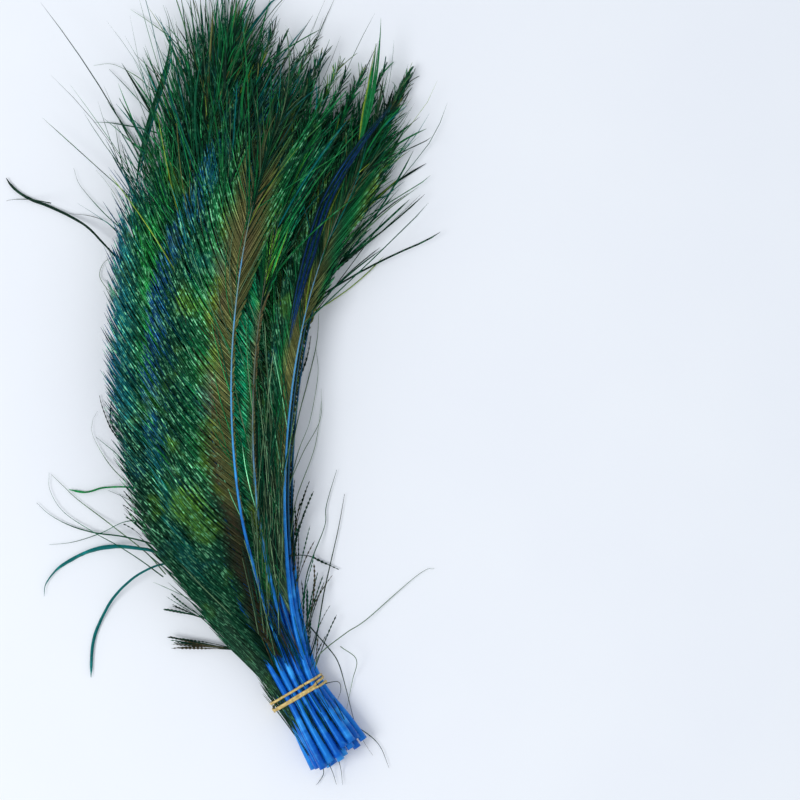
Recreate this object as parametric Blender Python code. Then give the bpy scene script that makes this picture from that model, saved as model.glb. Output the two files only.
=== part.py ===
"""A bunch of dyed peacock sword feathers held by a rubber band, lying on a table.

Run with: blender --background --python part.py

Every feather is one solid: its quill and shaft, and the envelope of its barbs as a thin flat vane.
The quills are packed in rows where the band holds them. Beyond the band the feathers fan out and lie
on each other, and each one is laid on the pile of those before it. Metres, +Z up. The table is at
z = 0, and the origin is on the table under the middle of the band. Lengths below are in mm.
"""

import math
import random

import bmesh
import bpy
import numpy as np
from mathutils import Vector

MM = 0.001

# The pack of quills where the band holds it, from the bottom row up, and the way the quills run.
TIE_HEADING = 31.0
ROWS = (6, 7, 6, 5)
TOP_ROW = len(ROWS) - 1
COLUMN_PITCH = 2.85
ROW_PITCH = COLUMN_PITCH * math.sin(math.radians(60))
GAP = 0.32

# Distances along a feather from the band. The cut ends are below it, and the barbs' tips beyond.
CUT = -30.0
TIP = 290.0
LONGEST, SHORTEST, SHORTER_ON_RIGHT = 0.975, 0.93, 0.07
STATIONS_IN_PACK = (-18.0, -5.0, 5.0, 16.0, 29.0)
STATIONS_IN_FAN = (45.0, 63.0, 83.0, 105.0, 128.0, 152.0, 176.0, 199.0, 221.0, 244.0, 267.0)
PACKED_UNTIL = max(STATIONS_IN_PACK)
END_SPLAY = 1.35
CUT_SLANT = 0.1

# The way a feather runs, in degrees left of +Y, on the left, in the middle and on the right of the fan.
HEADING_AT = (-30.0, 0.0, 20.0, 40.0, 67.0, 90.0, 120.0, 150.0, 180.0, 210.0, 240.0, 280.0)
HEADING_LEFT = (31.0, 30.5, 27.0, 22.5, 17.0, 12.0, 6.0, 0.0, -5.0, -9.0, -12.0, -14.0)
HEADING_MIDDLE = (31.0, 27.0, 22.0, 17.0, 11.0, 6.5, 1.0, -4.5, -9.5, -16.0, -22.0, -25.0)
HEADING_RIGHT = (31.0, 22.0, 13.0, 6.0, 1.0, -3.0, -7.0, -13.0, -21.0, -26.0, -26.0, -26.0)

# The shaft's radius, and the reach of the barbs on its long and short sides, at each distance.
SIZE_AT = (-30.0, 0.0, 30.0, 60.0, 100.0, 160.0, 210.0, 245.0, 268.0, 290.0)
SHAFT_RADIUS = (1.65, 1.25, 1.05, 0.85, 0.7, 0.5, 0.35, 0.25, 0.2, 0.15)
LONG_REACH = (0.0, 0.0, 14.0, 22.0, 28.0, 31.0, 30.0, 24.0, 17.0, 9.0)
SHORT_REACH = (0.0, 0.0, 0.0, 0.8, 2.6, 6.0, 10.0, 12.0, 10.0, 5.0)
VANE_THICKNESS = 0.3
VANE_STARTS_OUTSIDE, VANE_STARTS_INSIDE = 22.0, 76.0
VANE_GROWS_OVER = 30.0

# The pile that the feathers are laid on: the side of a cell of its grid, and its corner and size.
CELL = 0.25
PILE_CORNER = (-110.0, -45.0)
PILE_SIZE = (190.0, 350.0)
STEEPEST_RISE, STEEPEST_FALL = 0.4, 0.14

# The longest stray barb: the feather it grew on, and its route beyond the edge of the vane.
STRAY_FEATHER = (2, 0)
STRAY_ROUTE = ((-62.0, 172.0), (-76.0, 186.0), (-90.0, 194.0), (-104.0, 199.0), (-116.0, 207.0))
STRAY_WIDTH = (1.6, 1.3, 1.0, 0.8, 0.5)

# The rubber band: one loop wound three times, its strands passing over each other round the pack.
WINDINGS = 3
BAND_WIDTH, BAND_THICKNESS = 1.7, 0.9
BAND_SPREAD, BAND_RISE = 1.9, 0.75
BAND_STEPS = 28

FEATHER_COLOUR = (0.02, 0.16, 0.09, 1.0)
BAND_COLOUR = (0.66, 0.50, 0.25, 1.0)


def clear_scene():
    for old in list(bpy.data.objects):
        bpy.data.objects.remove(old)


def material(name, colour, roughness, metallic=0.0):
    made = bpy.data.materials.new(name)
    made.use_nodes = True
    shader = made.node_tree.nodes["Principled BSDF"]
    shader.inputs["Base Color"].default_value = colour
    shader.inputs["Roughness"].default_value = roughness
    shader.inputs["Metallic"].default_value = metallic
    return made


def smooth(x):
    x = min(1.0, max(0.0, x))
    return x * x * (3.0 - 2.0 * x)


def direction(degrees):
    """The level direction that runs this many degrees left of +Y."""
    angle = math.radians(degrees)
    return Vector((-math.sin(angle), math.cos(angle)))


def right_of(way):
    return Vector((way.y, -way.x))


def heading(distance, fan):
    """The way a feather runs at this distance. A fan position is 0 on the left and 1 on the right."""
    sides = [np.interp(distance, HEADING_AT, side) for side in (HEADING_LEFT, HEADING_MIDDLE, HEADING_RIGHT)]
    return float(np.interp(fan, (0.0, 0.5, 1.0), sides))


def fan_feathers():
    """(row, column, fan position) of every feather, in the order they are laid.

    The lower rows are filled in from right to left, so that each shaft lies on the vane of its right
    neighbour, after the two outer feathers of the bottom row, which lie on the table. The top row is
    the one that shows: its middle feather lies over the others.
    """
    laid = []
    for row, count in enumerate(ROWS[:TOP_ROW]):
        columns = list(range(count))[::-1]
        if row == 0:
            columns.insert(0, columns.pop())
        for column in columns:
            vary = random.Random(100 * row + column).uniform(-0.05, 0.05)
            laid.append((row, column, min(1.0, max(0.0, column / (count - 1) + vary))))
    laid += [(TOP_ROW, column, fan) for column, fan in ((4, 1.0), (3, 0.66), (0, 0.0), (1, 0.22), (2, 0.5))]
    return laid


def quill_place(row, column):
    """Where a quill passes through the band: how far right of its middle, and how far above it."""
    right = (column - (ROWS[row] - 1) / 2) * COLUMN_PITCH
    return right, (row - TOP_ROW / 2) * ROW_PITCH


def walk(origin, fan, distance, step=4.0):
    """The point at this distance from origin along a feather of this fan position."""
    place = origin.copy()
    steps = max(1, math.ceil(distance / step))
    for i in range(steps):
        middle = distance * (i + 0.5) / steps
        place = place + direction(heading(middle, fan)) * (distance / steps)
    return place


def vane_share(distance, starts):
    return smooth((distance - starts) / VANE_GROWS_OVER)


def feather_path(row, column, fan, tie_height):
    """The feather's stations, each a dict of its place, its size and, in the pack, its height."""
    vary = random.Random(1000 + 100 * row + column)
    stretch = vary.uniform(SHORTEST, LONGEST) - SHORTER_ON_RIGHT * smooth(fan)
    right, up = quill_place(row, column)
    along = direction(TIE_HEADING)
    across = right_of(along)
    starts = VANE_STARTS_OUTSIDE if column == 0 else VANE_STARTS_INSIDE
    cut = CUT + vary.uniform(-2.5, 2.5) + CUT_SLANT * right
    stations = []
    for distance in (cut, *STATIONS_IN_PACK, *STATIONS_IN_FAN, TIP):
        if distance < 0.0:
            splay = 1.0 + (END_SPLAY - 1.0) * smooth(distance / CUT)
            plan = along * distance + across * (right * splay)
            facing = across
        else:
            splay = 1.0
            plan = walk(across * right, fan, distance * stretch)
            facing = right_of(direction(heading(distance * stretch, fan)))
        share = vane_share(distance, starts)
        radius = float(np.interp(distance, SIZE_AT, SHAFT_RADIUS))
        stations.append(
            {
                "distance": distance,
                "plan": plan,
                "facing": facing,
                "radius": radius,
                "share": share,
                "left": radius + share * float(np.interp(distance, SIZE_AT, LONG_REACH)),
                "right": radius + share * float(np.interp(distance, SIZE_AT, SHORT_REACH)),
                "centre": tie_height + up * splay if distance <= PACKED_UNTIL else None,
            }
        )
    return stations


class Pile:
    """The heights that the feathers laid so far reach, on a square grid over the table."""

    def __init__(self):
        self.heights = np.zeros([int(side / CELL) for side in PILE_SIZE])

    def spots(self, a, b):
        """Points over the strip between two stations: share of the way, side, and the grid cell."""
        steps = max(3, int((b["plan"] - a["plan"]).length / (0.7 * CELL)))
        widest = max(a["left"] + a["right"], b["left"] + b["right"])
        columns = max(5, int(widest / (0.7 * CELL)))
        share, part = np.meshgrid(
            np.linspace(0.0, 1.0, steps), np.linspace(0.0, 1.0, columns), indexing="ij"
        )
        left = a["left"] + (b["left"] - a["left"]) * share
        right = a["right"] + (b["right"] - a["right"]) * share
        side = -left + (left + right) * part
        cells = []
        for axis in (0, 1):
            place = a["plan"][axis] + (b["plan"][axis] - a["plan"][axis]) * share
            facing = a["facing"][axis] + (b["facing"][axis] - a["facing"][axis]) * share
            cells.append(((place + facing * side - PILE_CORNER[axis]) / CELL).round().astype(int))
        return share, side, tuple(cells)

    def under(self, cells):
        """The pile's height at each spot, with its neighbouring cells."""
        x, y = cells
        return np.max([self.heights[x + i, y + j] for i in (-1, 0, 1) for j in (-1, 0, 1)], axis=0)

    def raise_to(self, cells, heights):
        np.maximum.at(self.heights, cells, heights)


def half_height(a, b, share, side):
    """How far the feather's top and underside are from its middle, at each spot."""
    radius = a["radius"] + (b["radius"] - a["radius"]) * share
    return np.where(np.abs(side) <= radius + CELL, radius, VANE_THICKNESS / 2)


def middle_height(a, b, share):
    return a["centre"] + (b["centre"] - a["centre"]) * share


def lay(stations, pile):
    """Gives every station the height of its middle, so that the feather clears the pile."""
    pairs = list(zip(stations, stations[1:]))
    strips = [pile.spots(a, b) for a, b in pairs]
    needs = []
    for (share, side, cells), (a, b) in zip(strips, pairs):
        under = pile.under(cells)
        needs.append(under + half_height(a, b, share, side) + GAP * (under > 0.0))
    for i, station in enumerate(stations):
        if station["centre"] is None:
            before = stations[i - 1]
            fallen = before["centre"] - STEEPEST_FALL * (station["distance"] - before["distance"])
            near = [needs[i - 1][strips[i - 1][0] > 0.5].max()]
            if i < len(strips):
                near.append(needs[i][strips[i][0] < 0.5].max())
            station["centre"] = float(max(*near, station["radius"], fallen))
    for before, station in reversed(pairs):
        if before["distance"] > PACKED_UNTIL:
            apart = station["distance"] - before["distance"]
            before["centre"] = max(before["centre"], station["centre"] - STEEPEST_RISE * apart)
    for need, (share, side, cells), (a, b) in zip(needs, strips, pairs):
        for end, part in ((b, share), (a, 1.0 - share)):
            if end["distance"] > PACKED_UNTIL:
                short = (need - middle_height(a, b, share)) / np.maximum(part, 0.5)
                end["centre"] += max(0.0, float(short[part >= 0.5].max()))
    for (share, side, cells), (a, b) in zip(strips, pairs):
        pile.raise_to(cells, middle_height(a, b, share) + half_height(a, b, share, side))


def section(station):
    """The eight corners of a feather's section: a round quill that spreads into a thin vane."""
    radius = station["radius"]
    half = VANE_THICKNESS / 2
    corners = []
    for degrees in range(180, 540, 45):
        side = math.cos(math.radians(degrees)) * radius
        up = math.sin(math.radians(degrees)) * radius
        if degrees == 180:
            side = -station["left"]
        elif degrees == 360:
            side = station["right"]
        elif degrees % 90:
            up += (math.copysign(half, up) - up) * station["share"]
        spot = station["plan"] + station["facing"] * side
        corners.append(Vector((spot.x, spot.y, station["centre"] + up)) * MM)
    return corners


def loft(name, rings, surface, closed=False):
    """One solid through rings of corners, with its ends capped, or joined if it is closed."""
    shape = bmesh.new()
    loops = [[shape.verts.new(corner) for corner in ring] for ring in rings]
    pairs = list(zip(loops, loops[1:]))
    if closed:
        pairs.append((loops[-1], loops[0]))
    else:
        shape.faces.new(loops[0])
        shape.faces.new(loops[-1][::-1])
    for low, high in pairs:
        for i in range(len(low)):
            j = (i + 1) % len(low)
            shape.faces.new((low[j], low[i], high[i], high[j]))
    bmesh.ops.triangulate(shape, faces=shape.faces)
    if shape.calc_volume(signed=True) < 0.0:
        bmesh.ops.reverse_faces(shape, faces=shape.faces)
    mesh = bpy.data.meshes.new(name)
    shape.to_mesh(mesh)
    shape.free()
    mesh.materials.append(surface)
    part = bpy.data.objects.new(name, mesh)
    bpy.context.scene.collection.objects.link(part)
    return part


def add_stray(feather, stations, surface):
    """Joins the longest stray barb to its feather, as a finger that starts inside the vane."""
    nearest = min(stations, key=lambda station: (station["plan"].y - STRAY_ROUTE[0][1]) ** 2)
    rings = []
    for i, (spot, width) in enumerate(zip(STRAY_ROUTE, STRAY_WIDTH)):
        before = Vector(STRAY_ROUTE[max(0, i - 1)])
        after = Vector(STRAY_ROUTE[min(len(STRAY_ROUTE) - 1, i + 1)])
        across = right_of((after - before).normalized()) * (width / 2)
        corners = []
        for side, up in ((-1, -1), (1, -1), (1, 1), (-1, 1)):
            place = Vector(spot) + across * side
            height = nearest["centre"] + up * VANE_THICKNESS * (0.3 if i == 0 else 0.6)
            corners.append(Vector((place.x, place.y, height)) * MM)
        rings.append(corners)
    stray = loft("stray_barb", rings, surface)
    stray.hide_render = True
    stray.display_type = "WIRE"
    join = feather.modifiers.new("stray barb", "BOOLEAN")
    join.operation = "UNION"
    join.object = stray


def make_feathers(tie_height):
    surface = material("feather", FEATHER_COLOUR, 0.4, 0.3)
    pile = Pile()
    for number, (row, column, fan) in enumerate(fan_feathers(), start=1):
        stations = feather_path(row, column, fan, tie_height)
        lay(stations, pile)
        feather = loft(f"feather_{number:02d}", [section(s) for s in stations], surface)
        if (row, column) == STRAY_FEATHER:
            add_stray(feather, stations, surface)


def hold_point(angle, clear):
    """A point beside the outermost quill in this direction, clear of it by this distance."""
    out = Vector((math.cos(angle), math.sin(angle)))
    places = [Vector(quill_place(row, column)) for row in range(len(ROWS)) for column in range(ROWS[row])]
    outermost = max(places, key=lambda place: place.dot(out))
    return outermost + out * clear, out


def band_rings():
    """The corners of the band's strand along its windings, from the middle of the pack.

    Its strands lie lowest half-way along the bottom of the pack, where the underside is level.
    """
    along = direction(TIE_HEADING)
    across = right_of(along)
    quill_radius = float(np.interp(-BAND_SPREAD, SIZE_AT, SHAFT_RADIUS))
    middle = quill_radius + GAP + BAND_THICKNESS / 2 + BAND_RISE
    rings = []
    for i in range(WINDINGS * BAND_STEPS):
        turn = 2 * math.pi * (i + 0.5) / BAND_STEPS
        phase = turn / WINDINGS
        spot, out = hold_point(turn, middle + BAND_RISE * math.sin(phase))
        ring = []
        for width, rise in ((-0.5, -0.5), (0.5, -0.5), (0.5, 0.5), (-0.5, 0.5)):
            place = spot + out * (rise * BAND_THICKNESS)
            plan = across * place.x + along * (BAND_SPREAD * math.cos(phase) + width * BAND_WIDTH)
            ring.append(Vector((plan.x, plan.y, place.y)))
        rings.append(ring)
    return rings


def make_band(rings, tie_height):
    """One loop of flat rubber, wound three times round the quills and closed on itself."""
    surface = material("rubber_band", BAND_COLOUR, 0.55)
    lifted = [[(corner + Vector((0.0, 0.0, tie_height))) * MM for corner in ring] for ring in rings]
    loft("rubber_band", lifted, surface, closed=True)


clear_scene()
band = band_rings()
tie_height = -min(corner.z for ring in band for corner in ring)
make_feathers(tie_height)
make_band(band, tie_height)
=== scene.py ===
"""A tied bundle of dyed peacock sword feathers, lying on a pale table: the looks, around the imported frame."""

import math

import bmesh
import bpy
import numpy as np
from mathutils import Matrix, Vector


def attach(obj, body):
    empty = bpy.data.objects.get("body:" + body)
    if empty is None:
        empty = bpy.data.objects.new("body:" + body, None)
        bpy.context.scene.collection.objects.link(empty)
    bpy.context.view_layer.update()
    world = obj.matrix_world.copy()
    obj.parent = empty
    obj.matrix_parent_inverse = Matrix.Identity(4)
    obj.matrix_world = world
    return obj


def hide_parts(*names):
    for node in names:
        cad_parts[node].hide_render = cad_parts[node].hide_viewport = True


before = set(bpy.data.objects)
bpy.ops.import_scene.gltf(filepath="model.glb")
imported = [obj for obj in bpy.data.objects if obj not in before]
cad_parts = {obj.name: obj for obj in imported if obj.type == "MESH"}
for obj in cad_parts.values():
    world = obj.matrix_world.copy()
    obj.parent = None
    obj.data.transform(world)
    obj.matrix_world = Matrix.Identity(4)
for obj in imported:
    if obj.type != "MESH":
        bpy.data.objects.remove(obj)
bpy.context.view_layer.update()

MM = 0.001
FEATHERS = sorted(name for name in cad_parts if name.startswith("feather_"))
BAND = "rubber_band"
BODY = "root"

# A feather's own scale runs from 0 at the tie to FULL at the tip of its shaft.
FULL = 290.0
SHAFT_RINGS, SHAFT_SIDES = 90, 10
BARB_RINGS, BARB_SIDES = 10, 3
# One feather's solid also holds a loose barb, which starts at this x.
LOOSE_BARB_FROM = -0.050
# A shaft's rings: corners this close lie one over another, and rings are this far apart.
PLUMB, LEAST_DEPTH, RING_GAP = 3e-5, 5e-5, 0.003
LINE_STEPS = 24
# The tie is halfway between these two rings.
TIE_RINGS = (2, 3)
# How steeply barbs sink past the shaft's tip.
SINK = 0.12
# A quill's wall, as a share of its width, and the depth of its open end, as a share of the shaft's length.
QUILL_WALL, BORE_DEPTH = 0.13, 0.008
# How far barbs may stand out of the solids' box.
LEAST = Vector((-0.130, -0.050, 0.0006))
MOST = Vector((0.062, 0.290, 0.0365))

UP = np.array([0.0, 0.0, 1.0])


# ---------------------------------------------------------------- small helpers


def table(*pairs):
    """A function that reads a value between these (where, value) pairs."""
    where, values = zip(*pairs)
    return lambda at: np.interp(at, where, values)


def smooth(x):
    x = np.clip(x, 0.0, 1.0)
    return x * x * (3.0 - 2.0 * x)


def rise(at, begin, end):
    """From 0 at begin to 1 at end, gently at both."""
    return smooth((at - begin) / (end - begin))


def unit(vectors):
    return vectors / np.maximum(np.linalg.norm(vectors, axis=-1, keepdims=True), 1e-9)


def smooth_line(points, steps):
    """Points along a Catmull-Rom curve through these ones."""
    points = np.asarray(points, float)
    padded = np.vstack([2 * points[0] - points[1], points, 2 * points[-1] - points[-2]])
    share = np.linspace(0.0, 1.0, steps, endpoint=False)[:, None]
    line = []
    for a, b, c, d in zip(padded, padded[1:], padded[2:], padded[3:]):
        bend = 2 * a - 5 * b + 4 * c - d
        twist = 3 * b - a - 3 * c + d
        line.append(b + 0.5 * ((c - a) * share + bend * share**2 + twist * share**3))
    return np.vstack([*line, points[-1:]])


def evenly(line, count):
    """The same line, read at points a constant distance apart."""
    gone = np.r_[0.0, np.cumsum(np.linalg.norm(np.diff(line, axis=0), axis=1))]
    at = np.linspace(0.0, gone[-1], count)
    return np.stack([np.interp(at, gone, line[:, axis]) for axis in range(line.shape[1])], axis=1)


# ---------------------------------------------------------------- the frame's shafts


class Shaft:
    """Where a feather's shaft runs, read from the rings of its solid."""

    def __init__(self, node):
        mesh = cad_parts[node].data
        corners = np.empty(len(mesh.vertices) * 3, np.float32)
        mesh.vertices.foreach_get("co", corners)
        corners = np.unique(np.round(corners.reshape(-1, 3).astype(float), 5), axis=0)
        corners = corners[corners[:, 0] > LOOSE_BARB_FROM]
        apart = corners[:, None] - corners[None]
        plumb = np.hypot(apart[..., 0], apart[..., 1]) < PLUMB
        above, below = np.nonzero(plumb & (apart[..., 2] > LEAST_DEPTH))
        middles = (corners[above] + corners[below]) / 2
        halves = (corners[above, 2] - corners[below, 2]) / 2
        order = np.argsort(middles[:, 1])
        middles, halves = middles[order], halves[order]
        breaks = np.nonzero(np.diff(middles[:, 1]) > RING_GAP)[0] + 1
        rings = np.split(np.arange(len(middles)), breaks)
        places = np.array([middles[ring].mean(axis=0) for ring in rings])
        radii = np.array([halves[ring].max() for ring in rings])
        line = smooth_line(np.c_[places, radii], LINE_STEPS)
        self.gone = np.r_[0.0, np.cumsum(np.linalg.norm(np.diff(line[:, :3], axis=0), axis=1))]
        before, after = (self.gone[LINE_STEPS * ring] for ring in TIE_RINGS)
        self.gone -= (before + after) / 2
        self.line = line
        ways = np.gradient(line[:, :2], axis=0)
        self.turns = np.unwrap(np.arctan2(-ways[:, 0], ways[:, 1]))
        self.scale = self.gone[-1] / FULL
        self.cut = self.gone[0] / self.scale

    def read(self, at, values):
        return np.interp(np.asarray(at) * self.scale, self.gone, values)

    def place(self, at):
        return np.stack([self.read(at, self.line[:, axis]) for axis in range(3)], axis=-1)

    def height(self, at):
        """The shaft's height, and past its tip a height that sinks slowly."""
        past = np.maximum(0.0, np.asarray(at) - FULL) * self.scale
        return self.read(at, self.line[:, 2]) - SINK * past

    def radius(self, at):
        return self.read(at, self.line[:, 3])

    def turn(self, at):
        return self.read(at, self.turns)


# ---------------------------------------------------------------- strands


def rod(rings, sides, hollow=0.0):
    """A straight rod from x = 0 to x = 1, half a unit in radius, sliced into rings."""
    shape = bmesh.new()
    lie_down = Matrix.Rotation(math.pi / 2, 4, "X") @ Matrix.Rotation(math.pi / 2, 4, "Y")
    bmesh.ops.create_cone(
        shape, cap_ends=True, segments=sides, radius1=0.5, radius2=0.5, depth=1.0, matrix=lie_down
    )
    bmesh.ops.translate(shape, verts=shape.verts, vec=(0.5, 0.0, 0.0))
    long_edges = [e for e in shape.edges if abs(e.verts[0].co.x - e.verts[1].co.x) > 0.5]
    bmesh.ops.subdivide_edges(shape, edges=long_edges, cuts=rings - 2, use_grid_fill=True)
    if hollow:
        mouth = [f for f in shape.faces if f.normal.x < -0.5]
        bmesh.ops.inset_region(shape, faces=mouth, thickness=QUILL_WALL)
        bore = bmesh.ops.extrude_discrete_faces(shape, faces=mouth)["faces"]
        bmesh.ops.translate(shape, verts=bore[0].verts, vec=(hollow, 0.0, 0.0))
    mesh = bpy.data.meshes.new("rod")
    shape.to_mesh(mesh)
    shape.free()
    return mesh


def row_of(mesh, count, name):
    """That many copies of a mesh in one mesh, one after another."""
    holder = bpy.data.objects.new(name, mesh)
    bpy.context.scene.collection.objects.link(holder)
    copies = holder.modifiers.new("copies", "ARRAY")
    copies.use_relative_offset = False
    copies.use_constant_offset = True
    copies.constant_offset_displace = (0.0, 0.0, 0.0)
    copies.count = count
    graph = bpy.context.evaluated_depsgraph_get()
    joined = bpy.data.meshes.new_from_object(holder.evaluated_get(graph), depsgraph=graph)
    joined.name = name
    bpy.data.objects.remove(holder)
    bpy.data.meshes.remove(mesh)
    return joined


def strands(name, paths, widths, flatness, rolls, shades, surface, sides=BARB_SIDES, hollow=0.0):
    """Rods bent along paths, as one piece. paths is strands x rings x 3, and widths is strands x rings.
    shades holds an attribute's values for each strand and ring, by name: numbers, or linear colours."""
    count, rings = paths.shape[:2]
    template = rod(rings, sides, hollow)
    size = len(template.vertices)
    mesh = row_of(template, count, name)
    corners = np.empty(len(mesh.vertices) * 3, np.float32)
    mesh.vertices.foreach_get("co", corners)
    corners = corners.reshape(-1, 3).astype(float)
    copy = np.arange(len(corners)) // size
    spot = np.clip(corners[:, 0], 0.0, 1.0) * (rings - 1)
    low = np.minimum(spot.astype(int), rings - 2)
    part = spot - low

    def at(values):
        share = part.reshape((-1,) + (1,) * (values.ndim - 2))
        return values[copy, low] * (1.0 - share) + values[copy, low + 1] * share

    along = unit(np.gradient(paths, axis=1))
    across = unit(np.cross(UP, along))
    over = np.cross(along, across)
    turned = np.cos(rolls)[..., None]
    leaned = np.sin(rolls)[..., None]
    side = across * turned + over * leaned
    top = over * turned - across * leaned
    wide = (corners[:, 1] * at(widths))[:, None]
    high = (corners[:, 2] * at(widths * flatness))[:, None]
    placed = at(paths) + at(side) * wide + at(top) * high
    mesh.vertices.foreach_set("co", placed.astype(np.float32).ravel())

    steps = np.linalg.norm(np.diff(paths, axis=1), axis=2)
    gone = np.concatenate([np.zeros((count, 1)), np.cumsum(steps, axis=1)], axis=1)
    chance = np.random.default_rng(count).random(count)
    loop_corner = np.empty(len(mesh.loops), np.int32)
    mesh.loops.foreach_get("vertex_index", loop_corner)
    lengthwise = at(gone)[loop_corner] / MM
    layer = mesh.uv_layers.new(name="barb")
    layer.data.foreach_set("uv", np.c_[lengthwise, chance[copy][loop_corner]].astype(np.float32).ravel())
    for shade, values in shades.items():
        spread = at(values).astype(np.float32)
        if spread.ndim > 1:
            layer = mesh.attributes.new(shade, "FLOAT_COLOR", "POINT")
            layer.data.foreach_set("color", np.c_[spread, np.ones(len(spread), np.float32)].ravel())
        else:
            layer = mesh.attributes.new(shade, "FLOAT", "POINT")
            layer.data.foreach_set("value", spread)
    mesh.polygons.foreach_set("use_smooth", np.full(len(mesh.polygons), sides > 4))
    mesh.materials.clear()
    mesh.materials.append(surface)
    mesh.update()
    piece = bpy.data.objects.new(name, mesh)
    bpy.context.scene.collection.objects.link(piece)
    return piece


def curved(roots, heights, turns, lengths, bends, rings=BARB_RINGS):
    """Paths that leave their roots at a turn from +Y, to the left, and bend by so much on their way.
    heights is a function of the share of the way and gives each path's height there."""
    share = np.linspace(0.0, 1.0, rings)
    facing = turns[:, None] + bends[:, None] * share
    ways = np.stack([-np.sin(facing), np.cos(facing)], axis=-1)
    steps = (ways[:, 1:] + ways[:, :-1]) / 2 * (lengths / (rings - 1))[:, None, None]
    plan = roots[:, None, :2] + np.concatenate([np.zeros((len(roots), 1, 2)), np.cumsum(steps, axis=1)], axis=1)
    return np.concatenate([plan, heights(share)[..., None]], axis=2)


def kept_inside(paths):
    """The paths, with what would leave the allowed box drawn in softly."""
    for axis in range(3):
        margin = 0.012 if axis < 2 else 0.0005
        start = MOST[axis] - margin
        beyond = np.maximum(0.0, paths[..., axis] - start)
        paths[..., axis] = np.minimum(paths[..., axis], start) + margin * np.tanh(beyond / margin / 1.5)
        start = LEAST[axis] + margin
        beyond = np.maximum(0.0, start - paths[..., axis])
        paths[..., axis] = np.maximum(paths[..., axis], start) - margin * np.tanh(beyond / margin / 1.5)
    return paths


# ---------------------------------------------------------------- materials


def colour(red, green, blue):
    """A colour given as it looks on a screen, from 0 to 255, as linear light."""
    values = []
    for level in (red / 255, green / 255, blue / 255):
        values.append(level / 12.92 if level <= 0.04045 else ((level + 0.055) / 1.055) ** 2.4)
    return (*values, 1.0)


class Finish:
    """A material under construction: each method adds a node and returns its output."""

    def __init__(self, name, roughness, metallic):
        self.material = bpy.data.materials.new(name)
        self.material.use_nodes = True
        self.nodes = self.material.node_tree.nodes
        self.links = self.material.node_tree.links
        self.shader = next(n for n in self.nodes if n.type == "BSDF_PRINCIPLED")
        self.shader.inputs["Roughness"].default_value = roughness
        self.shader.inputs["Metallic"].default_value = metallic
        self.places = self.nodes.new("ShaderNodeTexCoord").outputs["Object"]

    def feed(self, socket, value):
        if isinstance(value, bpy.types.NodeSocket):
            self.links.new(value, socket)
        else:
            socket.default_value = value

    def set(self, name, value):
        self.feed(self.shader.inputs[name], value)

    def attribute(self, name, kind="Fac"):
        node = self.nodes.new("ShaderNodeAttribute")
        node.attribute_name = name
        return node.outputs[kind]

    def strand(self):
        """Distance along the strand in millimetres, and a number of the strand's own from 0 to 1."""
        node = self.nodes.new("ShaderNodeUVMap")
        node.uv_map = "barb"
        parts = self.nodes.new("ShaderNodeSeparateXYZ")
        self.links.new(node.outputs["UV"], parts.inputs[0])
        return parts.outputs["X"], parts.outputs["Y"]

    def math(self, operation, *values):
        node = self.nodes.new("ShaderNodeMath")
        node.operation = operation
        for socket, value in zip(node.inputs, values):
            self.feed(socket, value)
        return node.outputs[0]

    def point(self, x, y=0.0, z=0.0):
        node = self.nodes.new("ShaderNodeCombineXYZ")
        for socket, value in zip(node.inputs, (x, y, z)):
            self.feed(socket, value)
        return node.outputs[0]

    def noise(self, where, scale, detail=2.0, roughness=0.5):
        node = self.nodes.new("ShaderNodeTexNoise")
        self.feed(node.inputs["Vector"], where)
        node.inputs["Scale"].default_value = scale
        node.inputs["Detail"].default_value = detail
        node.inputs["Roughness"].default_value = roughness
        return node.outputs["Fac"]

    def between(self, value, low, high, to_low=0.0, to_high=1.0):
        node = self.nodes.new("ShaderNodeMapRange")
        node.interpolation_type = "SMOOTHSTEP"
        self.feed(node.inputs["Value"], value)
        for name, level in zip(("From Min", "From Max", "To Min", "To Max"), (low, high, to_low, to_high)):
            node.inputs[name].default_value = level
        return node.outputs["Result"]

    def ramp(self, value, stops):
        """stops holds (where, colour) pairs, with where from 0 to 1."""
        node = self.nodes.new("ShaderNodeValToRGB")
        while len(node.color_ramp.elements) < len(stops):
            node.color_ramp.elements.new(0.5)
        for element, (where, tint) in zip(node.color_ramp.elements, stops):
            element.position = where
            element.color = tint
        self.feed(node.inputs["Fac"], value)
        return node.outputs["Color"]

    def mix(self, share, under, over):
        node = self.nodes.new("ShaderNodeMix")
        node.data_type = "RGBA"
        self.feed(node.inputs["Factor"], share)
        colours = [socket for socket in node.inputs if socket.type == "RGBA"]
        self.feed(colours[0], under)
        self.feed(colours[1], over)
        return next(socket for socket in node.outputs if socket.type == "RGBA")

    def bump(self, height, distance, strength=1.0):
        node = self.nodes.new("ShaderNodeBump")
        node.inputs["Strength"].default_value = strength
        node.inputs["Distance"].default_value = distance
        self.feed(node.inputs["Height"], height)
        self.set("Normal", node.outputs["Normal"])


BLACK_GREEN = colour(12, 34, 28)
DEEP_GREEN = colour(12, 76, 52)
LEAF_GREEN = colour(26, 124, 66)
VIVID_GREEN = colour(50, 178, 84)
EMERALD = colour(16, 162, 112)
MINT = colour(136, 222, 168)
LIME = colour(140, 204, 56)
YELLOW_GREEN = colour(124, 150, 52)
OLIVE = colour(104, 106, 62)
BRONZE = colour(106, 92, 64)
BROWN = colour(66, 54, 38)
TEAL = colour(14, 108, 110)
SEA_BLUE = colour(22, 96, 140)
BLUE = colour(24, 72, 134)
NAVY = colour(18, 40, 100)
GREY_GREEN = colour(96, 124, 92)
DIM_GREEN = colour(42, 68, 54)


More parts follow.
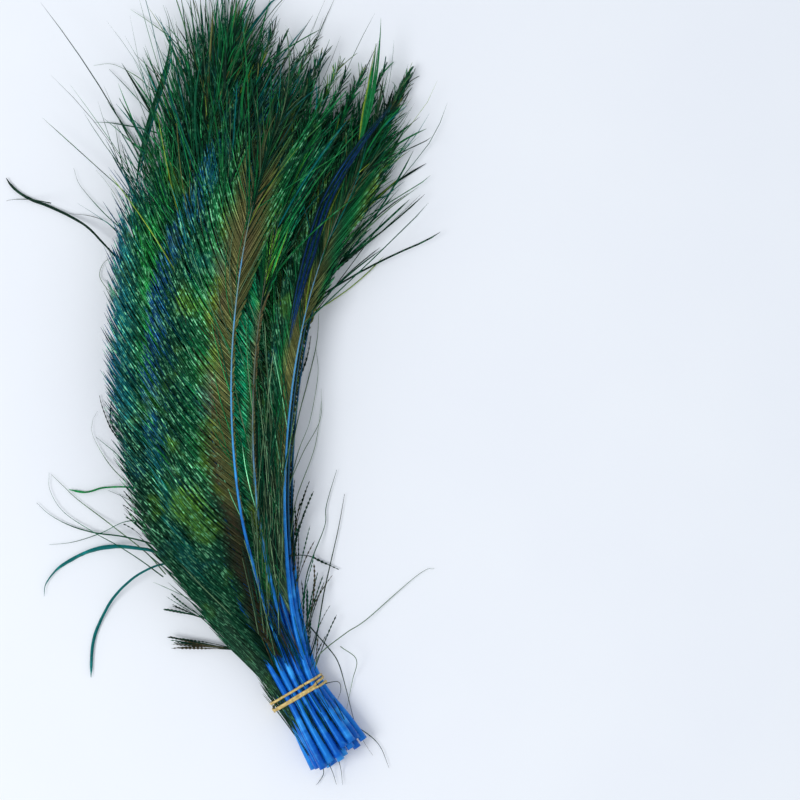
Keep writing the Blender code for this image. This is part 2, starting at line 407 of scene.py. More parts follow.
def barb_finish():
    """The barbs' sheen: each barb carries its dye, with painted glints and painted shade in dashes along it
    where it is smooth.
    """
    finish = Finish("dyed barbs with painted glints and shade", 0.40, 0.55)
    reach, own = finish.strand()
    # The sheen attribute sets how strong the painted glints and painted shade dashes are, and the colour
    # patches.
    sheen = finish.attribute("sheen")
    dye = finish.attribute("dye", "Color")
    patches = finish.noise(finish.places, 48.0, 3.0, 0.6)
    sea = finish.math("MULTIPLY", finish.between(patches, 0.55, 0.70, 0.0, 0.4), sheen)
    spring = finish.math("MULTIPLY", finish.between(patches, 0.43, 0.30, 0.0, 0.4), sheen)
    dye = finish.mix(sea, dye, SEA_BLUE)
    dye = finish.mix(spring, dye, LIME)
    grain = finish.noise(finish.point(reach, finish.math("MULTIPLY", own, 900.0)), 0.35, 1.5, 0.6)
    # Painted shade: dark dashes along each barb, between the painted glints.
    dark = finish.math("MULTIPLY", finish.between(grain, 0.53, 0.40), sheen)
    dye = finish.mix(finish.math("MULTIPLY", dark, 0.8), dye, BLACK_GREEN)
    # Painted highlights: mint glints in dashes along each barb.
    painted_glint = finish.math("MULTIPLY", finish.between(grain, 0.53, 0.64), sheen)
    dye = finish.mix(finish.math("MULTIPLY", painted_glint, 0.68), dye, MINT)
    mottle = finish.noise(finish.places, 700.0, 3.0)
    dye = finish.mix(finish.between(mottle, 0.45, 0.75, 0.0, 0.4), dye, BLACK_GREEN)
    finish.set("Base Color", dye)
    finish.shader.inputs["Specular Tint"].default_value = MINT
    ribs = finish.noise(finish.point(finish.math("MULTIPLY", reach, 4.0), own), 1.0, 1.0)
    finish.bump(ribs, 0.00012, 0.6)
    return finish.material


def shaft_finish():
    finish = Finish("dyed shaft with painted highlights and shade", 0.34, 0.0)
    along = finish.attribute("along")
    tints = [
        (0.00, colour(6, 84, 190)),
        (0.15, colour(10, 92, 196)),
        (0.28, colour(36, 116, 196)),
        (0.45, colour(88, 152, 196)),
        (0.66, colour(130, 156, 140)),
        (0.82, colour(140, 130, 80)),
    ]
    mottle = finish.noise(finish.places, 420.0, 3.0)
    reach, own = finish.strand()
    tone = finish.attribute("tone")
    where = finish.point(finish.math("MULTIPLY", reach, 0.10), finish.math("MULTIPLY", tone, 50.0))
    streaks = finish.noise(where, 1.0, 3.0)
    dye = finish.ramp(along, tints)
    dye = finish.mix(finish.between(streaks, 0.50, 0.75, 0.0, 0.6), dye, colour(30, 60, 150))
    # Painted highlights: lighter lengthwise streaks along the quill.
    dye = finish.mix(finish.between(streaks, 0.49, 0.30, 0.0, 0.8), dye, colour(66, 172, 250))
    dye = finish.mix(finish.between(tone, 0.35, 1.0, 0.0, 0.45), dye, colour(40, 150, 236))
    dye = finish.mix(finish.between(mottle, 0.50, 0.80, 0.0, 0.30), dye, colour(70, 170, 240))
    dye = finish.mix(finish.between(along, 0.58, 0.85), dye, OLIVE)
    # Painted shade on shafts that lie under other feathers.
    dye = finish.mix(finish.attribute("painted_shade"), dye, colour(20, 46, 58))
    finish.set("Base Color", dye)
    finish.set("Roughness", finish.between(mottle, 0.3, 0.7, 0.22, 0.40))
    finish.shader.inputs["Specular IOR Level"].default_value = 1.0
    finish.shader.inputs["Specular Tint"].default_value = colour(90, 195, 255)
    finish.bump(streaks, 0.00015, 0.5)
    return finish.material


def rubber_finish():
    finish = Finish("rubber", 0.55, 0.0)
    mottle = finish.noise(finish.places, 900.0, 4.0)
    tints = [(0.30, colour(170, 140, 76)), (0.55, colour(208, 182, 112)), (0.75, colour(234, 214, 152))]
    finish.set("Base Color", finish.ramp(mottle, tints))
    finish.bump(mottle, 0.0001, 0.7)
    return finish.material


def table_finish():
    finish = Finish("pale table", 0.9, 0.0)
    grain = finish.noise(finish.places, 14.0, 3.0)
    finish.set("Base Color", finish.ramp(grain, [(0.3, colour(238, 242, 249)), (0.7, colour(240, 244, 250))]))
    return finish.material


# ---------------------------------------------------------------- feathers


class Growth:
    """How one feather's barbs grow. outer and inner hold (place on the shaft, length in mm) pairs for its
    left and right barbs, and the left ones start at outer_from; loose is how many have come away; wild is
    where the rows loosen, and end how far up the thick of them reaches; matte is how far from the shaft they
    are dull, in mm. body, foot and tip are coats of dye, as (mm from the shaft, colour) pairs; pitch is the
    mm between barbs; lean scales the left ones' angles, and over is how far, as a share, they climb over the
    quills beside them."""

    def __init__(
        self, outer_from, outer, inner, loose, wild, end, matte, body, foot, tip, pitch=1.5, lean=1.0, over=0.0
    ):
        self.outer_from = outer_from
        self.outer = table(*outer)
        self.inner = table(*inner)
        self.loose = loose
        self.wild = wild
        self.end = end
        self.matte = matte
        self.coats = (body, foot, tip)
        self.pitch = pitch
        self.lean = lean
        self.over = over


# The barbs' lengths, and the coats of dye, of the feathers that lie deeper.
LONG_OUTER = ((-25, 30), (0, 42), (30, 50), (80, 52), (180, 54), (215, 56), (245, 46), (290, 20))
LONG_INNER = ((60, 3), (150, 6), (175, 16), (200, 40), (245, 44), (290, 18))
EDGE_INNER = ((60, 0), (163, 1), (176, 14), (195, 32), (235, 32), (290, 12))

DEEP_COATS = (
    [(0, OLIVE), (5, LEAF_GREEN), (16, DEEP_GREEN), (22, LEAF_GREEN), (27, BLUE), (34, BLACK_GREEN)],
    [(0, BLACK_GREEN), (4, DIM_GREEN), (12, DEEP_GREEN), (30, BLACK_GREEN)],
    [(0, DEEP_GREEN), (8, LEAF_GREEN), (16, DEEP_GREEN), (30, LEAF_GREEN)],
)
TEAL_COATS = (
    [(0, DEEP_GREEN), (9, LEAF_GREEN), (15, VIVID_GREEN), (19, DEEP_GREEN), (24, TEAL), (31, BLUE)],
    [(0, BLACK_GREEN), (4, DIM_GREEN), (12, DEEP_GREEN), (28, BLACK_GREEN)],
    [(0, LEAF_GREEN), (10, DEEP_GREEN), (20, LEAF_GREEN), (24, DEEP_GREEN), (32, TEAL)],
)

GROWTHS = {
    # The feather that lies on top of them all: a dull strip by the shaft, then green.
    "feather_24": Growth(
        outer_from=14.0,
        outer=((-25, 26), (0, 40), (30, 48), (80, 50), (140, 49), (170, 40), (200, 32), (240, 28), (290, 14)),
        inner=((60, 2), (160, 3), (172, 18), (186, 44), (210, 56), (250, 40), (290, 14)),
        loose=60,
        wild=(200.0, 240.0),
        end=262.0,
        matte=6.5,
        body=[(0, OLIVE), (5, OLIVE), (7, BRONZE), (8.5, YELLOW_GREEN), (12, LEAF_GREEN), (20, DEEP_GREEN)],
        foot=[(0, BLACK_GREEN), (4, BROWN), (8, BLACK_GREEN), (11, DEEP_GREEN), (28, DEEP_GREEN)],
        tip=[(0, BRONZE), (5, OLIVE), (10, LEAF_GREEN), (20, DEEP_GREEN)],
        pitch=0.95,
        over=1.0,
    ),
    # Beside it, the one with the blue edge.
    "feather_23": Growth(
        outer_from=5.0,
        outer=((-25, 26), (0, 40), (30, 46), (80, 47), (140, 42), (170, 36), (200, 28), (230, 22), (290, 12)),
        inner=((60, 3), (160, 4), (175, 16), (200, 36), (245, 40), (290, 16)),
        loose=60,
        wild=(225.0, 265.0),
        end=264.0,
        matte=3.5,
        body=[(0, BRONZE), (3, BRONZE), (5, EMERALD), (11, TEAL), (16, SEA_BLUE), (21, BLUE)],
        foot=[(0, BLACK_GREEN), (10, DEEP_GREEN), (24, TEAL)],
        tip=[(0, BRONZE), (4, TEAL), (10, SEA_BLUE), (18, BLUE)],
        pitch=0.95,
        over=0.75,
    ),
    "feather_22": Growth(-24.0, LONG_OUTER, LONG_INNER, 150, (150.0, 215.0), 284.0, 0.0, *TEAL_COATS, 0.88),
    # The one whose emerald edge shows beside the uppermost shaft.
    "feather_21": Growth(
        outer_from=40.0,
        outer=((40, 22), (100, 40), (200, 44), (240, 34), (290, 12)),
        inner=((60, 2), (170, 3), (190, 20), (215, 36), (290, 14)),
        loose=80,
        wild=(210.0, 250.0),
        end=268.0,
        matte=2.5,
        body=[(0, BRONZE), (1.6, BRONZE), (2.8, EMERALD), (14, EMERALD), (18, TEAL), (24, DEEP_GREEN)],
        foot=[(0, YELLOW_GREEN), (3, LEAF_GREEN), (7, DIM_GREEN), (16, BLACK_GREEN)],
        tip=[(0, LIME), (2, VIVID_GREEN), (7, EMERALD), (20, DEEP_GREEN)],
        pitch=0.95,
    ),
    # The rightmost: its left barbs hug the shaft.
    "feather_20": Growth(
        outer_from=30.0,
        outer=((30, 26), (140, 32), (165, 32), (190, 32), (240, 28), (290, 12)),
        inner=EDGE_INNER,
        loose=50,
        wild=(210.0, 250.0),
        end=268.0,
        matte=6.0,
        body=[(0, OLIVE), (3, OLIVE), (4.5, LEAF_GREEN), (6, DEEP_GREEN), (18, BLACK_GREEN)],
        foot=[(0, GREY_GREEN), (2, DIM_GREEN), (6, BLACK_GREEN)],
        tip=[(0, OLIVE), (3, DEEP_GREEN), (7, LEAF_GREEN), (11, YELLOW_GREEN), (16, DEEP_GREEN)],
        pitch=0.95,
        lean=0.6,
    ),
    "feather_19": Growth(-24.0, LONG_OUTER, LONG_INNER, 160, (150.0, 215.0), 290.0, 0.0, *TEAL_COATS, 0.92),
    "feather_13": Growth(-24.0, LONG_OUTER, LONG_INNER, 160, (150.0, 215.0), 290.0, 0.0, *DEEP_COATS, 0.95),
    "feather_01": Growth(-24.0, LONG_OUTER, LONG_INNER, 160, (150.0, 215.0), 290.0, 0.0, *DEEP_COATS, 1.15),
    "feather_14": Growth(44.0, LONG_OUTER, EDGE_INNER, 120, (160.0, 215.0), 258.0, 3.0, *DEEP_COATS, 1.5, 0.7),
    "feather_07": Growth(44.0, LONG_OUTER, EDGE_INNER, 110, (160.0, 215.0), 258.0, 3.0, *DEEP_COATS, 1.5, 0.8),
    "feather_02": Growth(44.0, LONG_OUTER, EDGE_INNER, 110, (160.0, 215.0), 258.0, 3.0, *DEEP_COATS),
}
HIDDEN = Growth(44.0, LONG_OUTER, LONG_INNER, 110, (155.0, 210.0), 257.0, 0.0, *DEEP_COATS)

# By place on the shaft: the barbs' angle from it and how far they bend towards its tip, in degrees, how high
# they climb over the quills beside them, and how wide they are, in mm.
OUTER_ANGLE = table((-25, 5), (-5, 10), (20, 24), (50, 38), (100, 46), (150, 46), (190, 36), (220, 26), (290, 8))
OUTER_BEND = table((-25, -6), (0, 0), (25, 10), (60, 22), (150, 27), (220, 9), (290, 0))
INNER_ANGLE = table((60, 26), (160, 26), (190, 22), (220, 18), (250, 14), (290, 6))
OVER_THE_NEXT = table((2, 0), (10, 3.4), (50, 7.6), (72, 6.4), (100, 2.2), (130, 0.3))
BARB_WIDTH = table((-25, 0.5), (0, 0.6), (60, 1.0), (200, 1.0), (290, 0.6))
WIDTH_ALONG_BARB = table((0.0, 0.7), (0.1, 1.0), (0.8, 0.95), (0.95, 0.78), (1.0, 0.12))
# Where, up the feather, its coats of dye and the strength of its painted glints change.
BODY_TO_FOOT, BODY_TO_TIP, TIP_TO_GRASS, DULL_FOOT = (112.0, 62.0), (165.0, 205.0), (210.0, 245.0), (5.0, 50.0)
LOOSE_DYES = (BLACK_GREEN, DEEP_GREEN, LEAF_GREEN, TEAL, OLIVE, YELLOW_GREEN, GREY_GREEN)
LOOSE_ODDS = (0.27, 0.36, 0.21, 0.07, 0.03, 0.025, 0.035)
# The fine barbs that lie over the close rows of each feather.
THREADS = 26
THREAD_DYES = (LEAF_GREEN, GREY_GREEN, MINT, DEEP_GREEN)
THREAD_ODDS = (0.4, 0.3, 0.1, 0.2)
# The right row of barbs is too short to hold threads below this place.
RIGHT_THREADS_FROM = 165


def dyed(stops, aside):
    """The colour at this many mm from the shaft."""
    where = [mm for mm, tint in stops]
    tints = np.array([tint[:3] for mm, tint in stops])
    return np.stack([np.interp(aside, where, tints[:, band]) for band in range(3)], axis=-1)


def clumped(chance, count, spread, every=7):
    """Numbers that wander from barb to barb, so that barbs gather in clumps and part."""
    knots = chance.normal(0.0, spread, count // every + 3)
    return np.interp(np.arange(count) / every, np.arange(len(knots)), knots)


class Barbs:
    """The barbs of one piece, gathered row by row before they are made."""

    def __init__(self, shaft, growth, chance):
        self.shaft = shaft
        self.growth = growth
        self.chance = chance
        self.rows = []

    def add(self, at, side, lengths, angles, bends, widths, lift, sheen, dye=None):
        """Barbs that leave the shaft at these places, lengths in metres and angles in radians."""
        count = len(at)
        share = np.linspace(0.0, 1.0, BARB_RINGS)
        shaft = self.shaft

        def heights(share):
            forward = (lengths * np.cos(angles))[:, None] * share / shaft.scale
            return shaft.height(at[:, None] + forward) + lift[:, None] * np.minimum(1.0, 3.0 * share)

        paths = curved(shaft.place(at), heights, shaft.turn(at) + side * angles, lengths, -side * bends)
        rolls = np.cumsum(self.chance.normal(0.0, 0.2, (count, BARB_RINGS)), axis=1)
        aside = lengths[:, None] / MM * share * np.abs(np.sin(angles[:, None] - bends[:, None] * share / 2))
        place = at[:, None] + clumped(self.chance, count, 12.0)[:, None]
        spot = aside + clumped(self.chance, count, 0.9)[:, None]
        body, foot, tip = (dyed(stops, spot) for stops in self.growth.coats)
        tints = body + (foot - body) * rise(place, *BODY_TO_FOOT)[..., None]
        tints = tints + (tip - tints) * rise(place, *BODY_TO_TIP)[..., None]
        grassy = np.array(LOOSE_DYES)[self.chance.choice(len(LOOSE_DYES), count, p=LOOSE_ODDS)][:, None, :3]
        tints = tints + (grassy - tints) * 0.85 * rise(place, *TIP_TO_GRASS)[..., None]
        if dye is not None:
            tints = np.repeat(dye[:, None], BARB_RINGS, axis=1)
        tints = tints * self.chance.uniform(0.5, 1.3, count)[:, None, None]
        matte = self.growth.matte
        # How strong the painted glints and painted shade dashes are: weak close to the shaft, and weaker at the
        # foot.
        shine = sheen[:, None] * rise(aside, matte - 1.0, matte + 3.0)
        shine = shine * (0.4 + 0.6 * rise(place, *DULL_FOOT))
        self.rows.append((paths, widths[:, None] * WIDTH_ALONG_BARB(share), rolls, tints, shine))

    def longest_from(self, at, count):
        """How long barbs from there can be and still end near the end of the thick of them."""
        further = self.growth.end * (1.0 + 0.03 * self.chance.normal(0.0, 1.0, count)) - at
        return np.maximum(further, 7.0) * self.shaft.scale

    def make(self, name, surface):
        paths, widths, rolls, dye, sheen = (np.concatenate(kind) for kind in zip(*self.rows))
        return strands(name, kept_inside(paths), widths, 0.42, rolls, {"dye": dye, "sheen": sheen}, surface)


def add_vane(barbs, growth, chance):
    """The two close rows of barbs."""
    for side, begin, length_at in ((1.0, growth.outer_from, growth.outer), (-1.0, 62.0, growth.inner)):
        pitch = growth.pitch * (1.0 if side > 0 else 1.5)
        at = np.arange(begin, FULL - 3.0, pitch)
        at = at[length_at(at) > 1.0]
        at = at + chance.uniform(-0.4, 0.4, len(at)) * pitch
        count = len(at)
        wild = rise(at, *growth.wild)
        tame = 1.0 - wild
        lengths = length_at(at) * MM
        lengths *= chance.uniform(0.96, 1.03, count) * tame + chance.uniform(0.35, 1.25, count) * wild
        lengths *= 1.0 + clumped(chance, count, 0.013)
        lengths = np.minimum(lengths, barbs.longest_from(at, count))
        angles = OUTER_ANGLE(at) * growth.lean if side > 0 else INNER_ANGLE(at)
        angles = angles + chance.normal(0.0, 0.8, count) * (1.0 + 9.0 * wild)
        angles = angles + clumped(chance, count, 0.7) * (1.0 + 1.6 * wild)
        bends = OUTER_BEND(at) * growth.lean if side > 0 else np.full(count, 2.0)
        bends = bends + chance.normal(0.0, 2.0, count) * (1.0 + 7.0 * wild)
        widths = BARB_WIDTH(at) * MM * chance.uniform(0.85, 1.1, count) * (growth.pitch / 1.5) ** 0.5
        widths *= tame + wild * chance.uniform(0.35, 1.1, count)
        lift = chance.uniform(-0.2, 0.3, count) * MM * (1.0 + 4.0 * wild)
        if side > 0:
            lift += OVER_THE_NEXT(at) * MM * growth.over
        sheen = chance.uniform(0.5, 1.0, count) * (1.0 - 0.6 * wild)
        barbs.add(at, side, lengths, np.radians(angles), np.radians(bends), widths, lift, sheen)


def add_loose(barbs, count, chance):
    """Barbs that have come away from the rows, over the loose end."""
    lowest = 0.54 if barbs.growth.over == 0.0 else 0.66
    at = FULL * chance.uniform(lowest, 0.93, count) ** 0.9
    side = np.where(chance.random(count) < 0.6, 1.0, -1.0)
    lengths = np.minimum(chance.uniform(32.0, 74.0, count) * MM, barbs.longest_from(at, count))
    stray = chance.random(count) < 0.13
    lengths[stray] *= chance.uniform(1.1, 1.9, stray.sum())
    angles = np.radians(np.abs(chance.normal(0.0, 1.0, count)) * table((0.5, 18), (1.0, 13))(at / FULL))
    bends = np.radians(chance.normal(2.0, 15.0, count))
    widths = MM * (0.28 + 0.9 * chance.random(count) ** 2) * np.where(stray, 0.6, 1.0)
    lift = chance.uniform(0.0, 2.4, count) * MM
    dye = np.array(LOOSE_DYES)[chance.choice(len(LOOSE_DYES), count, p=LOOSE_ODDS)][:, :3]
    barbs.add(at, side, lengths, angles, bends, widths, lift, 0.35 * chance.random(count), dye)


def add_threads(barbs, count, chance):
    """A few fine pale or dark barbs that lie over the close rows."""
    at = chance.uniform(30.0, 175.0, count)
    side = np.where(chance.random(count) < 0.7, 1.0, -1.0)
    lengths = chance.uniform(26.0, 50.0, count) * MM
    angles = np.radians(chance.uniform(8.0, 30.0, count))
    bends = np.radians(chance.normal(4.0, 12.0, count))
    widths = MM * chance.uniform(0.25, 0.5, count)
    dye = np.array(THREAD_DYES)[chance.choice(len(THREAD_DYES), count, p=THREAD_ODDS)][:, :3]
    side[(side < 0) & (at < RIGHT_THREADS_FROM)] = 1.0
    lift = chance.uniform(0.5, 1.5, count) * MM
    barbs.add(at, side, lengths, angles, bends, widths, lift, np.zeros(count), dye)


def make_vane(number, shaft, growth, surface):
    chance = np.random.default_rng(100 + number)
    barbs = Barbs(shaft, growth, chance)
    add_vane(barbs, growth, chance)
    add_loose(barbs, growth.loose, chance)
    add_threads(barbs, THREADS, chance)
    return barbs.make(f"vane_{number:02d}", surface)


# By place on the shaft: its width, as a share of the solid's.
SHAFT_SLIM = table((30, 1.0), (70, 0.8), (120, 0.62))
# How much sooner than the others these shafts turn from blue to olive, and how much painted shade darkens them
# above the quill, where they lie under other feathers.
SHAFT_DYES_AND_SHADE = {"feather_24": (1.0, 0.0), "feather_21": (1.6, 0.15), "feather_20": (1.0, 0.0)}
SHAFT_BELOW_OTHERS = (1.0, 0.85)


def make_shaft(number, shaft, sooner, painted_shade, surface):
    at = np.linspace(shaft.cut, FULL, SHAFT_RINGS)
    widths = 2.0 * (shaft.radius(at) * SHAFT_SLIM(at))[None]
    level = np.zeros((1, SHAFT_RINGS))
    shades = {
        "along": (sooner * at / FULL)[None],
        "tone": np.full((1, SHAFT_RINGS), number * 0.381966 % 1.0),
        "painted_shade": painted_shade * rise(at, 40.0, 80.0)[None],
    }
    name = f"shaft_{number:02d}"
    return strands(name, shaft.place(at)[None], widths, 1.0, level, shades, surface, SHAFT_SIDES, BORE_DEPTH)


shafts = {}
shaft_surface = shaft_finish()
barb_surface = barb_finish()
for number, node in enumerate(FEATHERS, start=1):
    shafts[node] = Shaft(node)
    vane = make_vane(number, shafts[node], GROWTHS.get(node, HIDDEN), barb_surface)
    quill = make_shaft(number, shafts[node], *SHAFT_DYES_AND_SHADE.get(node, SHAFT_BELOW_OTHERS), shaft_surface)
    for piece in (vane, quill):
        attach(piece, BODY)
        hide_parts(node)


# ---------------------------------------------------------------- locks and strays

STRAY_RINGS, LOCK_RINGS, SPRAY_STEPS = 64, 12, 6
# No barb's end lies lower than this, in mm.
LOWEST_END = 0.9


class Wisps:
    """Single barbs and locks of them that follow lines of their own, (x, y) in mm."""

    def __init__(self, node, surface):
        self.node = node
        self.surface = surface
        self.chance = np.random.default_rng(500 + int(node[-2:]))
        self.rows = []

    def add(self, points, levels, breadth, shape, tint, beads=0.0, sheen=0.0):
        """levels holds the height at both ends, in mm, breadth the width, and shape how it changes along;
        beads is the length of a bead, or 0."""
        line = evenly(smooth_line(np.array(points, float), 16), STRAY_RINGS)
        share = np.linspace(0.0, 1.0, STRAY_RINGS)
        height = levels[1] + (levels[0] - levels[1]) * (1.0 - smooth(share * 1.5))
        widths = breadth * shape(share)
        if beads:
            length = np.linalg.norm(np.diff(line, axis=0), axis=1).sum()
            count = max(3, round(length / beads))
            swell = np.sin(math.pi * (share * count + self.chance.random())) ** 2
            widths = widths * (0.6 + 1.5 * swell * self.chance.uniform(0.5, 1.0) * rise(share, 0.35, 0.6))
        roll = np.cumsum(self.chance.normal(0.0, 0.10, STRAY_RINGS))
        dye = np.repeat(np.array(tint[:3])[None], STRAY_RINGS, axis=0)
        self.rows.append((np.c_[line, height] * MM, widths * MM, roll, dye, np.full(STRAY_RINGS, sheen)))

    def lock(self, points, levels, count, breadth, width, tints, sheen=0.2):
        """Barbs side by side, close at both ends and this broad between."""
        line = evenly(smooth_line(np.array(points, float), 16), LOCK_RINGS)
        way = unit(np.gradient(line, axis=0))
        aside = np.stack([-way[:, 1], way[:, 0]], axis=1)
        share = np.linspace(0.0, 1.0, LOCK_RINGS)
        room = breadth * table((0, 0.2), (0.35, 1), (0.6, 0.9), (1, 0.2))(share)
        for spot in np.linspace(-0.5, 0.5, count):
            wander = self.chance.normal(0.0, 0.15) * share
            moved = line + aside * (room * spot + wander)[:, None]
            ends = self.chance.integers(0, 3, 2)
            tint = tints[self.chance.integers(len(tints))]
            self.add(moved[ends[0]:LOCK_RINGS - ends[1]], levels, width, TAPERED, tint, 0.0, sheen)

    def spray(self, places, levels, count, lengths, turns, bend, widths, tints, beads=0.0, sink=0.7):
        """Barbs from places between these (x, y) corners, in every direction between the turns, in degrees.
        Their far ends lie at sink times the height of their near ones."""
        for _ in range(count):
            start = self.chance.uniform(*np.array(places, float))
            facing = math.radians(self.chance.uniform(*turns))
            length = self.chance.uniform(*lengths)
            curl = math.radians(self.chance.normal(0.0, bend))
            path = [start]
            for part in np.linspace(0.0, 1.0, SPRAY_STEPS + 1)[1:]:
                way = facing + curl * part
                path.append(path[-1] + length / SPRAY_STEPS * np.array([-math.sin(way), math.cos(way)]))
            top = self.chance.uniform(*levels)
            tint = tints[self.chance.integers(len(tints))]
            ends = (top, max(LOWEST_END, top * sink))
            self.add(path, ends, self.chance.uniform(*widths), WIDTH_ALONG_BARB, tint, beads)

    def make(self):
        paths, widths, rolls, dye, sheen = (np.array(kind) for kind in zip(*self.rows))
        name = f"wisps_{self.node[-2:]}"
        shades = {"dye": dye, "sheen": sheen}
        piece = strands(name, kept_inside(paths), widths, 0.5, rolls, shades, self.surface)
        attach(piece, BODY)
        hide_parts(self.node)


# How a barb's width changes along it.
TAPERED = table((0.0, 0.05), (0.2, 1.0), (0.7, 0.9), (1.0, 0.08))
THREAD = table((0.0, 1.0), (0.6, 0.8), (1.0, 0.25))
BLADE = table((0.0, 0.5), (0.45, 1.0), (0.8, 0.7), (1.0, 0.08))
CLUB = table((0.0, 0.6), (0.7, 1.0), (0.93, 0.9), (1.0, 0.2))
DARKS = (BLACK_GREEN, BLACK_GREEN, DEEP_GREEN, BROWN)

# The stray barbs beside the bundle: (x, y) points, width, shape, dye and the length of a bead or 0, in mm.
LEFT_STRAYS = (
    (
        ((-50, 54), (-58, 56), (-64, 57.2), (-76, 57.8), (-86, 55.6), (-97, 49.8), (-103, 43), (-104, 37.6)),
        2.1, BLADE, TEAL, 0,
    ),
    (
        ((-52, 52), (-60, 49.6), (-68, 44.8), (-76, 36.8), (-81.6, 26.8), (-84.4, 17.6), (-85, 4.8)),
        1.5, CLUB, TEAL, 0,
    ),
    (
        ((-52, 56), (-61, 59.6), (-72, 62), (-84, 63.4), (-94, 66.4), (-102, 70.8), (-107, 75.4)),
        0.8, THREAD, DEEP_GREEN, 0,
    ),
    (
        ((-55, 46), (-64, 52.4), (-74, 58.4), (-84, 63.6), (-96, 71.6), (-101.6, 80.4), (-102, 87.6)),
        0.6, THREAD, DEEP_GREEN, 0,
    ),
    (((-54, 47), (-62, 55.6), (-76, 66), (-90, 76.4), (-96, 82), (-101, 86.8)), 0.6, THREAD, GREY_GREEN, 0),
    (((-57, 66), (-65, 68.4), (-72, 67.6), (-81, 63.2), (-92, 59.6), (-102, 58.4)), 0.5, THREAD, DEEP_GREEN, 0),
    (((-58, 80), (-67, 81.8), (-74, 82), (-81, 81.4), (-87, 79.8), (-94, 80.8)), 1.4, CLUB, LEAF_GREEN, 0),
    (
        ((-57, 72), (-65, 79.2), (-77, 90.4), (-84, 102), (-84.4, 108.4), (-82.4, 112.4)),
        0.5, THREAD, GREY_GREEN, 0,
    ),
    (((-60, 82), (-69, 89.8), (-76, 96.4), (-83, 102)), 0.6, THREAD, DEEP_GREEN, 0),
    (((-64, 90), (-71, 98.4), (-77, 105.6), (-80.4, 114), (-81.6, 118.8)), 0.8, THREAD, BLACK_GREEN, 2.2),
    (((-66, 93), (-72.4, 100.4), (-76.6, 107.6), (-77.2, 112), (-76.6, 117.6)), 1.2, THREAD, BLACK_GREEN, 2.6),
    (((-52, 64), (-60, 70.4), (-70, 76.8), (-78, 80.4)), 0.5, THREAD, DEEP_GREEN, 0),
    (((-54, 65), (-62, 70.4), (-68, 74.8), (-70, 79.6)), 0.5, THREAD, DEEP_GREEN, 0),
    (((-100, 196), (-109.4, 198), (-115.4, 198.2), (-120, 197.6)), 0.5, THREAD, BLACK_GREEN, 0),
    (((-64, 176), (-73, 183.8), (-79, 189.2), (-86, 191.6), (-94, 192.4)), 0.7, THREAD, BLACK_GREEN, 0),
    (
        ((-64, 177), (-72, 185.6), (-79, 192), (-85, 198.4), (-90, 204.8), (-92, 210.8)),
        0.6, THREAD, DEEP_GREEN, 0,
    ),
    (((-65, 182), (-71, 192), (-74, 198), (-79, 205.4), (-83, 210)), 0.5, THREAD, GREY_GREEN, 0),
    (((-62, 194), (-70, 206), (-73, 215.2), (-75.4, 228.8)), 0.6, THREAD, DEEP_GREEN, 0),
    (
        ((-68, 155), (-76.6, 160.4), (-81, 165.6), (-81.4, 169.2), (-79.6, 172.8), (-76.8, 174.6)),
        0.5, THREAD, GREY_GREEN, 0,
    ),
    (((-52, 222), (-63, 226.2), (-76, 229), (-84, 229.4)), 0.7, THREAD, DEEP_GREEN, 0),
    (((-52, 222), (-62, 234), (-70, 243), (-77.6, 250.8)), 0.6, THREAD, DEEP_GREEN, 0),
    (((-47, 255), (-54, 264), (-62, 270.4), (-69, 275)), 0.6, THREAD, GREY_GREEN, 0),
    (((-50, 236), (-60, 242), (-66, 247.6), (-76, 252.8), (-84, 252.4)), 0.5, THREAD, GREY_GREEN, 0),
    (
        (
            (-68, 168), (-76, 176.4), (-80, 180.6), (-86, 186.6), (-94, 191.6),
            (-103, 195.8), (-109, 198), (-115, 201.7), (-120, 206.8),
        ),
        1.4, CLUB, BLACK_GREEN, 0,
    ),
)
